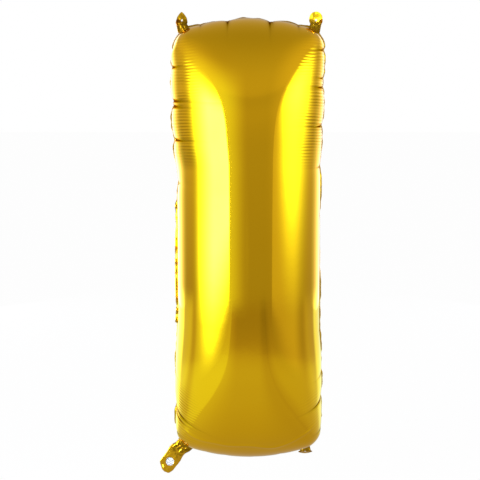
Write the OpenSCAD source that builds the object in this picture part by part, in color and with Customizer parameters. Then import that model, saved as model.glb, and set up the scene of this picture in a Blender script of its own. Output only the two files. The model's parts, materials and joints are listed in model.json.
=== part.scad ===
// Foil number balloon: a plain upright bar of two films fused round their edge, with three
// hanging tabs and a filling neck. +X is right, the front faces -Y and +Z is up. The origin
// is half way between the holes of the two top tabs.

/* [Envelope] */
// Height of the blown-up body between its end seams
body_height = 792; // [700:1:900]
// Radius of the blown-up tube at mid height
tube_radius = 128; // [115:1:145]
// Half width of the body at its two ends, where the film fans out
end_half_width = 134; // [128:1:150]
// Radius of the outline's corners
corner_radius = 30; // [24:1:40]
// Rise of each arched end from its corners to its middle
end_arch = 27; // [5:1:35]
// Length of the rounded cap at each end of the tube
cap_length = 220; // [160:1:260]
// How squarely the cap turns into the sides
cap_squareness = 2; // [1:0.5:3]
// Film thickness, several times the real foil's so that it can be a solid
film_thickness = 1; // [0.8:0.1:1.5]

/* [Edge weld] */
// Width of the fused edge outside the film's fold
weld_width = 5; // [4:0.5:8]
// Thickness of the fused edge
weld_thickness = 1; // [0.8:0.1:1.2]

/* [Tabs] */
// Radius of a tab's round head
tab_head_radius = 13; // [11:0.5:16]
// Width of a tab where it folds
tab_root_width = 20; // [16:0.5:21]
// Radius of the hole for a ribbon
tab_hole_radius = 2; // [1.5:0.25:3]
// Distance of that hole below the centre of the head
tab_hole_drop = 2; // [0:0.5:3]
// Distance of each top tab from the centre line
top_tab_reach = 118; // [105:1:120]
// Distance of the bottom right tab from the centre line
bottom_tab_reach = 105; // [95:1:115]
// How far back the bottom right tab is folded
bottom_tab_fold = 60; // [0:5:75]

/* [Filling neck] */
// Lean of the neck from straight down towards the left
neck_lean = 38; // [30:1:50]
// Width of the neck
neck_width = 33; // [30:1:36]
// Length of the neck from its fold to its tip
neck_length = 65; // [60:1:80]
// Thickness of each of the neck's two outer films
neck_film = 0.6; // [0.5:0.1:0.8]
// Width of the fused edges of the neck
neck_weld_width = 3.5; // [3:0.25:4]
// Radius of the filling hole
filling_hole_radius = 7.75; // [6:0.25:8]
// Distance of the filling hole from the neck's fold
filling_hole_distance = 40; // [36:1:46]

/* [Valve] */
// Width of the valve's two films
valve_width = 24; // [22:0.5:25]
// Thickness of each valve film
valve_film = 0.4; // [0.3:0.05:0.5]
// Gap between the two valve films, which the gas passes through
valve_gap = 0.6; // [0.4:0.05:0.8]
// Length of the valve inside the body
valve_tongue = 110; // [80:5:150]

/* [Hidden] */

FRONT = -1;
REAR = 1;
fold_clearance = 0.05;
pad_rise = 1;
flare_power = 6;
columns = 28;
rows = 44;

half_height = body_height / 2;
bead_radius = weld_thickness / 2;
head_rise = sqrt(pow(tab_head_radius, 2) - pow(tab_root_width / 2, 2));
hole_rise = head_rise - tab_hole_drop;

channel_width = neck_width - 2 * neck_weld_width;
channel_half_gap = 1.1;
neck_half_thickness = channel_half_gap + neck_film;
mouth_half_gap = channel_half_gap + 0.1;
mouth_half_width = channel_width / 2 + 8;
mouth_ramp = 8;
collar_depth = 14;
collar_half_width = mouth_half_width + mouth_ramp;
valve_end_inset = 1.5;
valve_tip_inset = 7;
tongue_start = neck_half_thickness + 0.15;

GOLD = "goldenrod";
SILVER = "silver";

// The outline: u runs from -1 at the left side to 1 at the right, and v from -1 at the
// bottom to 1 at the top. grow moves the outline out, or in where it is negative.

// Height of the end edge above mid height at a share u of the half width
function end_edge(u, grow) =
  let(
    reach = end_half_width + grow,
    radius = corner_radius + grow,
    past = max(0, abs(u) * reach - (reach - radius))
  )
  half_height + grow - end_arch * u * u - (radius - sqrt(max(0, radius * radius - past * past)));

// Half width of the body at a share v of the half height
function side_edge(v, grow) =
  tube_radius + grow + (end_half_width - tube_radius) * pow(abs(v), flare_power);

function outline_point(u, v, grow) = [u * side_edge(v, grow), body_centre + v * end_edge(u, grow)];

function column_share(i) = sin(180 * i / columns - 90);
function row_share(j) = sin(180 * j / rows - 90);

// The outline's points, once round
function outline(grow) = concat(
  [for (i = [0:columns - 1]) outline_point(column_share(i), -1, grow)],
  [for (j = [0:rows - 1]) outline_point(1, row_share(j), grow)],
  [for (i = [columns:-1:1]) outline_point(column_share(i), 1, grow)],
  [for (j = [rows:-1:1]) outline_point(-1, row_share(j), grow)]
);

// Height of a tab's fold line above mid height, just clear of the arched edge
function fold_height(reach) =
  end_edge((reach - tab_root_width / 2) / (end_half_width + weld_width), weld_width) + pad_rise;

body_centre = -(fold_height(top_tab_reach) + hole_rise);
top_fold = body_centre + fold_height(top_tab_reach);
bottom_fold = body_centre - fold_height(bottom_tab_reach);

// The neck leaves the corner where the outline reaches farthest in the neck's direction
neck_direction = [-sin(neck_lean), -cos(neck_lean)];
neck_across = [cos(neck_lean), -sin(neck_lean)];
corner_reaches = [for (p = outline(weld_width)) p * neck_direction];
corner_point = outline(weld_width)[search(max(corner_reaches), corner_reaches)[0]];
neck_root = corner_point + pad_rise * neck_direction;

// Depth of the blown-up film at (u, v): a round tube with rounded caps, meeting the other
// film at right angles to the seam
function film_depth(u, v, grow) =
  let(
    across = sqrt(max(0, 1 - u * u)),
    below = min(1, end_edge(u, grow) * (1 - abs(v)) / cap_length),
    along = sqrt(max(0, 1 - pow(1 - below, 3)))
  )
  min(across, along) < 0.001 ? 0 :
  (tube_radius + grow)
  * pow(pow(across, -cap_squareness) + pow(along, -cap_squareness) - 1, -1 / cap_squareness);

// Half the gap that the valve's films need where they pass between the two panels
function mouth_gap(p) =
  mouth_half_gap * min(1, max(0, (collar_half_width - abs((p - neck_root) * neck_across)) / mouth_ramp))
  * ((p - neck_root) * neck_direction > -collar_depth * 2 ? 1 : 0);

function film_point(u, v, grow) =
  let(p = outline_point(u, v, grow))
  [p[0], max(film_depth(u, v, grow), mouth_gap(p)), p[1]];

// Vertex numbers of one grid, then the other
function vertex(i, j, layer) = layer * (columns + 1) * (rows + 1) + j * (columns + 1) + i;

// A square of the grid as two triangles, turned over on the inner layer
function square_faces(a, b, c, d, turned) =
  turned ? [[a, d, c], [a, c, b]] : [[a, b, c], [a, c, d]];

// The rear sheet: an outer and an inner skin, closed round the seam
module film_shell() {
  points = [
    for (grow = [0, -film_thickness], j = [0:rows], i = [0:columns])
      film_point(column_share(i), row_share(j), grow)
  ];
  skins = [
    for (layer = [0, 1], j = [0:rows - 1], i = [0:columns - 1])
      each square_faces(
        vertex(i, j, layer), vertex(i, j + 1, layer),
        vertex(i + 1, j + 1, layer), vertex(i + 1, j, layer),
        layer == 0)
  ];
  ends = [
    for (j = [0, rows], i = [0:columns - 1])
      each square_faces(
        vertex(i, j, 0), vertex(i + 1, j, 0), vertex(i + 1, j, 1), vertex(i, j, 1),
        j == 0)
  ];
  sides = [
    for (i = [0, columns], j = [0:rows - 1])
      each square_faces(
        vertex(i, j, 0), vertex(i, j + 1, 0), vertex(i, j + 1, 1), vertex(i, j, 1),
        i == columns)
  ];
  polyhedron(points, concat(skins, ends, sides));
}

// A flat shape drawn in X and Z, from y = low to y = high
module sheet(low, high) {
  translate([0, high, 0])
    rotate([90, 0, 0])
      linear_extrude(high - low)
        children();
}

// A box given by its low and high corners
module block(low, high) {
  translate(low)
    cube(high - low);
}

// A rod along X
module rod(radius, length) {
  rotate([0, 90, 0])
    cylinder(r = radius, h = length, center = true, $fn = 48);
}

// Children are drawn with the neck's fold on the X axis and its tip towards -Z
module at_neck() {
  translate([neck_root[0], 0, neck_root[1]])
    rotate([0, neck_lean, 0])
      children();
}

// The short pad of the fused edge that a tab folds on, up to just short of the fold
module tab_pad(reach, fold, toward_body) {
  top = fold + toward_body * (bead_radius + fold_clearance);
  low = top + toward_body * 22;
  translate([reach - tab_root_width / 2, min(low, top)])
    square([tab_root_width, abs(top - low)]);
}

module front_panel() {
  color(GOLD) mirror([0, 1, 0]) film_shell();
}

module rear_panel() {
  color(GOLD) film_shell();
}

module edge_weld() {
  collar_end = neck_half_thickness + fold_clearance;
  color(GOLD) difference() {
    union() {
      sheet(-weld_thickness / 2, weld_thickness / 2) {
        polygon(outline(weld_width));
        for (reach = [-top_tab_reach, top_tab_reach])
          tab_pad(reach, top_fold, -1);
        tab_pad(bottom_tab_reach, bottom_fold, 1);
      }
      at_neck()
        sheet(-neck_half_thickness, neck_half_thickness)
          polygon([
            [-neck_width / 2, collar_end], [neck_width / 2, collar_end],
            [collar_half_width, collar_depth], [-collar_half_width, collar_depth],
          ]);
    }
    sheet(-2 * neck_half_thickness, 2 * neck_half_thickness)
      polygon(outline(0));
    at_neck()
      block(
        [-channel_width / 2, -channel_half_gap, -1],
        [channel_width / 2, channel_half_gap, 2 * collar_depth]);
  }
}

// A tab with its fold on the X axis and its head towards +Z
module tab() {
  color(GOLD) difference() {
    union() {
      intersection() {
        translate([0, bead_radius, head_rise])
          rotate([90, 0, 0])
            cylinder(r = tab_head_radius, h = weld_thickness, $fn = 96);
        block([-20, -1, 0], [20, 1, 40]);
      }
      rod(bead_radius, tab_root_width - 0.2);
    }
    translate([0, 1, hole_rise])
      rotate([90, 0, 0])
        cylinder(r = tab_hole_radius, h = 2, $fn = 48);
  }
}

module top_left_tab() {
  translate([-top_tab_reach, 0, top_fold])
    tab();
}

module top_right_tab() {
  translate([top_tab_reach, 0, top_fold])
    tab();
}

module bottom_right_tab() {
  translate([bottom_tab_reach, 0, bottom_fold])
    rotate([180 + bottom_tab_fold, 0, 0])
      tab();
}

// A tongue from the fold down to a round tip
module tongue_outline(width, start, length) {
  translate([-width / 2, -(length - width / 2)])
    square([width, length - width / 2 + start]);
  translate([0, -(length - width / 2)])
    circle(r = width / 2, $fn = 96);
}

// One half of the neck on its own side of the seam plane
module neck_half(side) {
  inner = min(0, side * neck_half_thickness);
  outer = max(0, side * neck_half_thickness);
  difference() {
    union() {
      sheet(inner, outer)
        tongue_outline(neck_width, 0, neck_length);
      intersection() {
        rod(neck_half_thickness, neck_width);
        block([-neck_width, inner, -5], [neck_width, outer, 5]);
      }
    }
    sheet(-channel_half_gap, channel_half_gap)
      tongue_outline(channel_width, 5, neck_length - neck_weld_width);
  }
}

// The filling hole through whatever lies in front of the passage
module filling_hole() {
  translate([0, 0, -filling_hole_distance])
    rotate([90, 0, 0])
      cylinder(r = filling_hole_radius, h = 5, $fn = 96);
}

// A flat shape as a valve film on its side of the passage
module valve_sheet(side) {
  near = side * valve_gap / 2;
  far = side * (valve_gap / 2 + valve_film);
  sheet(min(near, far), max(near, far))
    children();
}

// The part of a valve film inside the neck, with a round end clear of the neck's fused tip
module valve_outer(side) {
  valve_sheet(side)
    tongue_outline(valve_width, -valve_end_inset, neck_length - valve_tip_inset);
}

// The part of a valve film inside the body
module valve_inner(side) {
  valve_sheet(side)
    translate([-valve_width / 2, tongue_start])
      square([valve_width, valve_tongue - tongue_start]);
}

module neck_front_film() {
  color(GOLD) at_neck()
    difference() {
      neck_half(FRONT);
      filling_hole();
    }
}

module neck_rear_film() {
  color(GOLD) at_neck() neck_half(REAR);
}

module valve_outer_front() {
  color(SILVER) at_neck()
    difference() {
      valve_outer(FRONT);
      filling_hole();
    }
}

module valve_outer_rear() {
  color(SILVER) at_neck() valve_outer(REAR);
}

module valve_inner_front() {
  color(SILVER) at_neck() valve_inner(FRONT);
}

module valve_inner_rear() {
  color(SILVER) at_neck() valve_inner(REAR);
}

front_panel();
rear_panel();
edge_weld();
top_left_tab();
top_right_tab();
bottom_right_tab();
neck_front_film();
neck_rear_film();
valve_outer_front();
valve_outer_rear();
valve_inner_front();
valve_inner_rear();
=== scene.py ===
"""Looks of a foil number balloon: blown-up sheets, fused edge, hanging tabs, filling neck and flat valve."""

import json
import logging
import math
from collections.abc import Callable
from dataclasses import dataclass
from enum import Enum

import bmesh
import bpy
import numpy as np
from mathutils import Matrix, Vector


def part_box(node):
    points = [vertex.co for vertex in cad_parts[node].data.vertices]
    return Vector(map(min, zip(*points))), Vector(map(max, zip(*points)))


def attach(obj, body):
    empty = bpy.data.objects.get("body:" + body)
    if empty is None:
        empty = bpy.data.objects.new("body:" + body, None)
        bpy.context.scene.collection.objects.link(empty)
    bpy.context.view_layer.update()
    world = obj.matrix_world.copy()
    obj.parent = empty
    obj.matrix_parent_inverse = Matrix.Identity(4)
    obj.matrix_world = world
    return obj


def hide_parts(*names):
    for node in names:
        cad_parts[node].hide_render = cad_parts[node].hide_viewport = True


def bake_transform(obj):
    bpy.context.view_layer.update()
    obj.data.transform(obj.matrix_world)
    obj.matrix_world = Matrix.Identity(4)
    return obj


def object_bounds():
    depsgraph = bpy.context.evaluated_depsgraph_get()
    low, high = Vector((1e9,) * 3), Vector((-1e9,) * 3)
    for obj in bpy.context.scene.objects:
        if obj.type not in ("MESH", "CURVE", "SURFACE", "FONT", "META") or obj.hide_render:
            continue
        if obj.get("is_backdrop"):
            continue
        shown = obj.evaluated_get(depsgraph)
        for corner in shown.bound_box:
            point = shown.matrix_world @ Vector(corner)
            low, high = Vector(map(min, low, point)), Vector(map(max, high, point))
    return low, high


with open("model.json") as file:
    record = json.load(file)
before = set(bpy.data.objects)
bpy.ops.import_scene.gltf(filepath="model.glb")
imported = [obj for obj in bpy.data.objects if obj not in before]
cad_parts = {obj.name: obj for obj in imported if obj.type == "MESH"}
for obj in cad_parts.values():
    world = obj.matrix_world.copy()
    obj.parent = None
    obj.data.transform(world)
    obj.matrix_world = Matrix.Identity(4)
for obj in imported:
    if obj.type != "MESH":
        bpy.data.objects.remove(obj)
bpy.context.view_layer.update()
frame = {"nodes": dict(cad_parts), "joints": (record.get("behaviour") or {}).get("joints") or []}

LOG = logging.getLogger("balloon")
MM = 0.001
TINY = 1e-6
BACKWARD = np.array((0, 1, 0))


class Side(Enum):
    """Which of the two sheets a surface belongs to, as the sign of its depth."""

    FRONT = -1
    REAR = 1


class Edge(Enum):
    """The four edges of the body's outline, each as (axis, sign) of its outward direction."""

    LEFT = ("x", -1)
    RIGHT = ("x", 1)
    TOP = ("z", 1)
    BOTTOM = ("z", -1)

    @property
    def sign(self) -> int:
        """Which way along its axis the edge faces."""
        return self.value[1]


@dataclass(frozen=True)
class Crease:
    """A pinch that runs in from the seam.

    place is its distance from the middle of its edge, pull how far it draws the seam in,
    spread how wide that dimple is, reach how far it runs over the film, and slant its
    drift along the edge for each metre that it runs in.
    """

    edge: Edge
    place: float
    pull: float
    spread: float
    reach: float
    slant: float = 0.0


CREASES = (
    Crease(Edge.LEFT, 0.338, 0.0026, 0.010, 0.030),
    Crease(Edge.LEFT, 0.310, 0.0062, 0.015, 0.050),
    Crease(Edge.LEFT, 0.252, 0.0050, 0.012, 0.070),
    Crease(Edge.LEFT, 0.242, 0.0058, 0.013, 0.060),
    Crease(Edge.LEFT, 0.184, 0.0060, 0.017, 0.065),
    Crease(Edge.LEFT, 0.108, 0.0048, 0.016, 0.035),
    Crease(Edge.LEFT, 0.030, 0.0022, 0.020, 0.020),
    Crease(Edge.LEFT, -0.120, 0.0018, 0.020, 0.020),
    Crease(Edge.LEFT, -0.235, 0.0024, 0.012, 0.030, -0.20),
    Crease(Edge.LEFT, -0.292, 0.0044, 0.013, 0.075, -0.32),
    Crease(Edge.LEFT, -0.304, 0.0032, 0.010, 0.060, -0.28),
    Crease(Edge.LEFT, -0.345, 0.0036, 0.014, 0.040, -0.10),
    Crease(Edge.RIGHT, 0.340, 0.0040, 0.013, 0.055),
    Crease(Edge.RIGHT, 0.291, 0.0042, 0.013, 0.050),
    Crease(Edge.RIGHT, 0.275, 0.0046, 0.013, 0.060),
    Crease(Edge.RIGHT, 0.208, 0.0050, 0.016, 0.055),
    Crease(Edge.RIGHT, 0.136, 0.0036, 0.018, 0.040),
    Crease(Edge.RIGHT, 0.050, 0.0018, 0.020, 0.020),
    Crease(Edge.RIGHT, -0.160, 0.0018, 0.020, 0.020),
    Crease(Edge.RIGHT, -0.235, 0.0022, 0.014, 0.040, -0.15),
    Crease(Edge.RIGHT, -0.280, 0.0044, 0.014, 0.060, -0.20),
    Crease(Edge.RIGHT, -0.340, 0.0032, 0.014, 0.040, -0.10),
    Crease(Edge.TOP, -0.084, 0.0028, 0.010, 0.030),
    Crease(Edge.TOP, -0.037, 0.0050, 0.013, 0.046),
    Crease(Edge.TOP, 0.036, 0.0052, 0.013, 0.050),
    Crease(Edge.TOP, 0.041, 0.0020, 0.008, 0.040),
    Crease(Edge.TOP, 0.086, 0.0030, 0.010, 0.034),
    Crease(Edge.BOTTOM, -0.078, 0.0026, 0.010, 0.030),
    Crease(Edge.BOTTOM, -0.043, 0.0034, 0.011, 0.032),
    Crease(Edge.BOTTOM, 0.012, 0.0024, 0.011, 0.026),
    Crease(Edge.BOTTOM, 0.058, 0.0036, 0.011, 0.034),
)


def value_noise(points: np.ndarray, seed: int) -> np.ndarray:
    """Smooth noise from -1 to 1 on a lattice.

    Args:
        points: places in lattice steps, shape (n, 2).
        seed: which pattern.

    Returns:
        One value for each place.
    """
    size = 256
    table = np.random.default_rng(seed).uniform(-1, 1, (size, size))
    low = np.floor(points).astype(int)
    share = points - low
    share = share * share * (3 - 2 * share)
    left, right = low[:, 0] % size, (low[:, 0] + 1) % size
    below, above = low[:, 1] % size, (low[:, 1] + 1) % size
    lower = table[left, below] * (1 - share[:, 0]) + table[right, below] * share[:, 0]
    upper = table[left, above] * (1 - share[:, 0]) + table[right, above] * share[:, 0]
    return lower * (1 - share[:, 1]) + upper * share[:, 1]


def film_noise(
    first: np.ndarray, second: np.ndarray, sizes: tuple[float, float], seed: int, shift: float = 0.0
) -> np.ndarray:
    """Smooth noise over a film.

    Args:
        first: places along one direction.
        second: places along the other, in the same shape.
        sizes: lattice step along each direction.
        seed: which pattern.
        shift: how many lattice steps the pattern is moved by.

    Returns:
        One value from -1 to 1 for each place, in the same shape.
    """
    places = np.stack([first.ravel() / sizes[0], second.ravel() / sizes[1]], axis=-1)
    return value_noise(places + shift, seed).reshape(first.shape)


def smooth_step(low: float, high: float, value: np.ndarray) -> np.ndarray:
    """0 below low, 1 above high and smooth between them."""
    share = np.clip((value - low) / (high - low), 0, 1)
    return share * share * (3 - 2 * share)


def even_steps(places: np.ndarray, density: np.ndarray, count: int) -> np.ndarray:
    """Places spaced by a density.

    Args:
        places: fine samples along the line.
        density: wanted points for each metre at each sample.
        count: how many steps to make.

    Returns:
        count + 1 places from the first sample to the last.
    """
    grown = np.concatenate([[0], np.cumsum((density[1:] + density[:-1]) / 2 * np.diff(places))])
    return np.interp(np.linspace(0, grown[-1], count + 1), grown, places)


@dataclass(frozen=True)
class FilmForm:
    """The blown-up body: a round tube with rounded caps inside an outline with arched ends."""

    middle: float
    half_height: float
    tube_radius: float
    end_half_width: float
    corner_radius: float = 30 * MM
    end_arch: float = 27 * MM
    cap_length: float = 220 * MM
    squareness: float = 2.0
    flare_start: float = 0.35
    flare_end: float = 0.75

    @classmethod
    def from_frame(cls) -> "FilmForm":
        """The form with the sizes of the frame's rear sheet."""
        low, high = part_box("rear_panel")
        return cls((low.z + high.z) / 2, (high.z - low.z) / 2, high.y, high.x)

    def end_edge(self, u: np.ndarray) -> np.ndarray:
        """Height of the end edge above the middle, at a share u of the half width."""
        straight = self.end_half_width - self.corner_radius
        past = np.maximum(0, np.abs(u) * self.end_half_width - straight)
        drop = self.corner_radius - np.sqrt(np.maximum(0, self.corner_radius**2 - past**2))
        return self.half_height - self.end_arch * u * u - drop

    def side_edge(self, v: np.ndarray) -> np.ndarray:
        """Half width at a share v of the half height."""
        flare = smooth_step(self.flare_start, self.flare_end, np.abs(v))
        return self.tube_radius + (self.end_half_width - self.tube_radius) * flare

    def cap_share(self, below: np.ndarray) -> np.ndarray:
        """Depth of the cap as a share of the tube's, at a distance below the end edge."""
        share = np.clip(below / self.cap_length, 0, 1)
        return np.sqrt(np.maximum(0, 1 - (1 - share) ** 3))

    def depth(self, u: np.ndarray, v: np.ndarray) -> np.ndarray:
        """Distance of the film from the seam plane."""
        across = np.sqrt(np.maximum(0, 1 - u * u))
        along = self.cap_share(self.end_edge(u) * (1 - np.abs(v)))
        thin = np.minimum(across, along) < TINY
        across, along = np.maximum(across, TINY), np.maximum(along, TINY)
        q = self.squareness
        share = (across**-q + along**-q - 1) ** (-1 / q)
        return np.where(thin, 0, self.tube_radius * share)


@dataclass
class FilmGrid:
    """Points of one sheet on a grid, with each one's two places on the flat film and its painted shade."""

    points: np.ndarray
    across: np.ndarray
    along: np.ndarray
    shade: np.ndarray


class Envelope:
    """The two blown-up sheets and the fused edge round them."""

    columns = 172
    rows = 574
    weld_width = 5 * MM
    weld_thickness = 0.3 * MM
    weld_crimp = 0.5 * MM
    rib_spacing = 5.2 * MM
    rib_height = 0.36 * MM
    broad_height = 0.30 * MM
    left_swell = 5 * MM
    fold_rise = 92 * MM
    fold_wander = 9 * MM
    fold_height = 1.1 * MM
    fold_width = 3.0 * MM
    side_dimple = 35 * MM
    end_dimple = 30 * MM
    dimple_floor = 0.35
    groove_share = 0.34
    groove_width = 1.9 * MM
    groove_start = 6 * MM
    # Painted shade: the groove depth that is darkened fully, and how dark the rib valleys are painted.
    groove_full_shade = 0.55 * MM
    valley_shade = 0.5
    seeds = {Side.FRONT: 11, Side.REAR: 23}

    def __init__(self, form: FilmForm) -> None:
        """Lays out the grid that both sheets share."""
        self.form = form
        self.u, self.v = self._shares()

    def _shares(self) -> tuple[np.ndarray, np.ndarray]:
        """Columns and rows, closer together near the seams where the film is creased."""
        angle = np.linspace(-math.pi / 2, math.pi / 2, 2001)
        arc = (math.pi / 2 - np.abs(angle)) * self.form.tube_radius
        density = 1 + 1.2 * np.exp(-arc / 0.05)
        for crease in CREASES:
            if crease.edge is Edge.TOP:
                off = np.sin(angle) * self.form.end_half_width - crease.place
                density += 1.6 * np.exp(-((off / (5 * MM)) ** 2))
        columns = even_steps(angle, density, self.columns)
        height = np.linspace(0, 1, 4001)
        below = np.maximum(self.form.half_height * (1 - height), 0.02 * MM)
        ribbed = smooth_step(0.30, 0.38, height) * (1 - smooth_step(0.86, 0.92, height))
        density = 1 + 2.8 * ribbed + 0.12 / np.sqrt(below) + 5 * np.exp(-below / 0.018)
        half = even_steps(height, density, self.rows // 2)
        rows = np.concatenate([-half[:0:-1], half])
        return np.sin(columns), rows

    def _pull(self, edge: Edge, along: np.ndarray, inward: np.ndarray, dimple: float) -> np.ndarray:
        """How far along x or z the creases of one edge draw the film in."""
        total = np.zeros_like(along)
        for crease in CREASES:
            if crease.edge is edge:
                off = np.abs(along - crease.place - crease.slant * inward)
                width = crease.spread * (0.25 + 0.75 * np.exp(-inward / crease.reach))
                fade = np.exp(-((inward / crease.reach) ** 1.5))
                total += crease.pull * fade * np.exp(-off / width)
        share = self.dimple_floor + (1 - self.dimple_floor) * np.exp(-inward / dimple)
        return edge.sign * total * share

    def _groove(self, edge: Edge, along: np.ndarray, inward: np.ndarray) -> np.ndarray:
        """Depth of the sharp valley along each crease of one edge."""
        total = np.zeros_like(along)
        for crease in CREASES:
            if crease.edge is edge:
                off = np.abs(along - crease.place - crease.slant * inward)
                fade = smooth_step(0, self.groove_start, inward)
                fade *= np.exp(-((inward / (0.9 * crease.reach)) ** 2))
                total += self.groove_share * crease.pull * fade * np.exp(-off / self.groove_width)
        return total

    def grid(self, side: Side) -> FilmGrid:
        """The sheet on that side, creased and rippled.

        Args:
            side: front or rear.

        Returns:
            Its points, shape (rows + 1, columns + 1, 3), with their places on the flat film and painted shade.
        """
        form = self.form
        u, v = np.meshgrid(self.u, self.v)
        from_side = (math.pi / 2 - np.abs(np.arcsin(np.clip(u, -1, 1)))) * form.tube_radius
        below = form.end_edge(u) * (1 - np.abs(v))
        from_end = form.tube_radius * np.arcsin(np.clip(form.cap_share(below), 0, 1))
        swollen = smooth_step(0.35, 0.50, v) * (1 - smooth_step(0.93, 1.0, v))
        x = u * form.side_edge(v) + np.minimum(u, 0) * self.left_swell * swollen
        level = v * form.end_edge(u)
        z = level.copy()
        groove = np.zeros_like(x)
        for edge in (Edge.LEFT, Edge.RIGHT):
            here = u * edge.sign > 0
            x -= np.where(here, self._pull(edge, level, from_side, self.side_dimple), 0)
            groove += np.where(here, self._groove(edge, level, from_side), 0)
        for edge in (Edge.BOTTOM, Edge.TOP):
            here = v * edge.sign > 0
            z -= np.where(here, self._pull(edge, x, from_end, self.end_dimple), 0)
            groove += np.where(here, self._groove(edge, x, from_end), 0)
        points = np.stack([x, side.value * form.depth(u, v), z + form.middle], axis=-1)
        ripple, valleys = self._ripple(side, points, from_side, from_end)
        points += (ripple - groove)[..., None] * self._normals(points, side)
        # Painted shade in the grooves of the creases and in the valleys of the ribs.
        shade = np.clip(groove / self.groove_full_shade, 0, 1) + valleys
        return FilmGrid(points, across_film(points[..., 0], from_side), z, shade)

    def _normals(self, points: np.ndarray, side: Side) -> np.ndarray:
        """Outward directions at the grid's points."""
        across = np.gradient(points, axis=1)
        up = np.gradient(points, axis=0)
        normal = np.cross(across, up) * -side.value
        length = np.linalg.norm(normal, axis=-1, keepdims=True)
        return normal / np.maximum(length, 1e-12)

    def _ripple(
        self, side: Side, points: np.ndarray, from_side: np.ndarray, from_end: np.ndarray
    ) -> tuple[np.ndarray, np.ndarray]:
        """Height of the small waves of the film, none at the seam itself, and the painted shade in their valleys."""
        x, z = points[..., 0], points[..., 2] - self.form.middle
        seed = self.seeds[side]
        arc = across_film(x, from_side)
        broad = film_noise(arc, z, (0.09, 0.16), seed)
        slope = np.where(z < 0, -0.22, 0.04)
        level = z - slope * from_side
        drift = film_noise(arc, level, (0.07, 0.025), seed + 1)
        swell = film_noise(arc, level, (0.040, 0.013), seed + 2)
        ribs = np.sin(2 * math.pi * level / self.rib_spacing + 2.6 * drift)
        near_end = np.where(z > 0, smooth_step(0.13, 0.19, z), smooth_step(0.235, 0.285, -z))
        near_end *= 1 - smooth_step(0.335, 0.375, np.abs(z))
        beside = smooth_step(0.0, 0.014, from_side) * (1 - smooth_step(0.055, 0.125, from_side))
        beside *= np.where((z < 0) & (x >= 0), 0.35, 1.0)
        at_seam = smooth_step(0.0, 0.03, np.minimum(from_side, from_end))
        height = broad * self.broad_height * at_seam
        if side is Side.FRONT:
            wander = self.fold_wander * film_noise(x, 0 * z, (0.05, 1.0), 5)
            off = from_end - self.fold_rise - wander - 0.9 * x * x
            shown = np.where(z < 0, 1 - smooth_step(0.095, 0.125, np.abs(x)), 0)
            height += self.fold_height * shown * np.exp(-((off / self.fold_width) ** 2))
        ribs = ribs * (0.55 + 0.45 * swell) * near_end * beside
        return height + ribs * self.rib_height, np.clip(-ribs, 0, 1) * self.valley_shade

    def rim(self, grid: FilmGrid) -> np.ndarray:
        """The grid's edge once round, from the bottom left corner towards the right."""
        points = grid.points
        return np.concatenate(
            [points[0, :-1], points[:-1, -1], points[-1, :0:-1], points[:0:-1, 0]]
        )

    def build(self, finish: bpy.types.Material, fused: bpy.types.Material) -> list[bpy.types.Object]:
        """Makes both sheets and the fused edge, and ties them to the frame."""
        pieces = []
        for side, name, node in (
            (Side.FRONT, "front_sheet", "front_panel"),
            (Side.REAR, "rear_sheet", "rear_panel"),
        ):
            grid = self.grid(side)
            piece = grid_piece(name, grid, turned=side is Side.REAR)
            dress(piece, finish)
            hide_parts(node)
            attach(piece, "envelope")
            pieces.append(piece)
        edge = self.fused_edge(self.rim(grid), fused)
        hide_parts("edge_weld")
        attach(edge, "envelope")
        return [*pieces, edge]

    def fused_edge(self, rim: np.ndarray, finish: bpy.types.Material) -> bpy.types.Object:
        """The fused band outside the fold, leaning and crimped as it runs round."""
        rim = rim * (1 - BACKWARD)
        ahead = np.roll(rim, -1, axis=0) - np.roll(rim, 1, axis=0)
        ahead /= np.linalg.norm(ahead, axis=1, keepdims=True)
        outward = np.stack([ahead[:, 2], np.zeros(len(rim)), -ahead[:, 0]], axis=-1)
        for _ in range(6):
            outward = (outward + np.roll(outward, 1, axis=0) + np.roll(outward, -1, axis=0)) / 3
        outward /= np.linalg.norm(outward, axis=1, keepdims=True)
        direction = self._leaning(rim, outward)
        mesh = bpy.data.meshes.new("fused_edge")
        count = len(rim)
        mesh.from_pydata(rim.tolist(), [(i, (i + 1) % count) for i in range(count)], [])
        attribute = mesh.attributes.new("outward", "FLOAT_VECTOR", "POINT")
        attribute.data.foreach_set("vector", direction.ravel())
        band = add_object("fused_edge", mesh)
        inputs = {"Width": self.weld_width, "Crimp": self.weld_crimp, "Finish": finish}
        run_nodes(band, edge_tree(), inputs)
        thicken(band, self.weld_thickness, 0.0)
        shade_smooth(band)
        return band

    def _leaning(self, rim: np.ndarray, outward: np.ndarray) -> np.ndarray:
        """The band's direction at each point: outward, but leaning back by a wandering angle."""
        steps = np.linalg.norm(np.roll(rim, -1, axis=0) - rim, axis=1)
        run = np.concatenate([[0], np.cumsum(steps)[:-1]])
        slow, quick = (film_noise(run, 0 * run, (size, 1.0), seed) for size, seed in ((0.045, 41), (0.009, 42)))
        height = rim[:, 2] - self.form.middle
        calm = (rim[:, 0] < 0) & (height > -0.15) & (height < 0.07)
        straight = np.abs(rim[:, 0]) > 0.7 * self.form.tube_radius
        degrees = np.where(calm, 20, np.where(straight, 66, 74)) + 20 * slow + np.where(calm, 30, 12) * quick
        lean = np.radians(degrees)[:, None]
        return outward * np.cos(lean) + BACKWARD * np.sin(lean)


def across_film(x: np.ndarray, from_side: np.ndarray) -> np.ndarray:
    """Distance across the flat film from the left seam, with the right half set at 0.5 m from it."""
    return np.where(x < 0, from_side, 0.5 - from_side)


def add_object(name: str, data: bpy.types.ID) -> bpy.types.Object:
    """A new object with this data, in the scene's collection."""
    made = bpy.data.objects.new(name, data)
    bpy.context.collection.objects.link(made)
    return made


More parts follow.
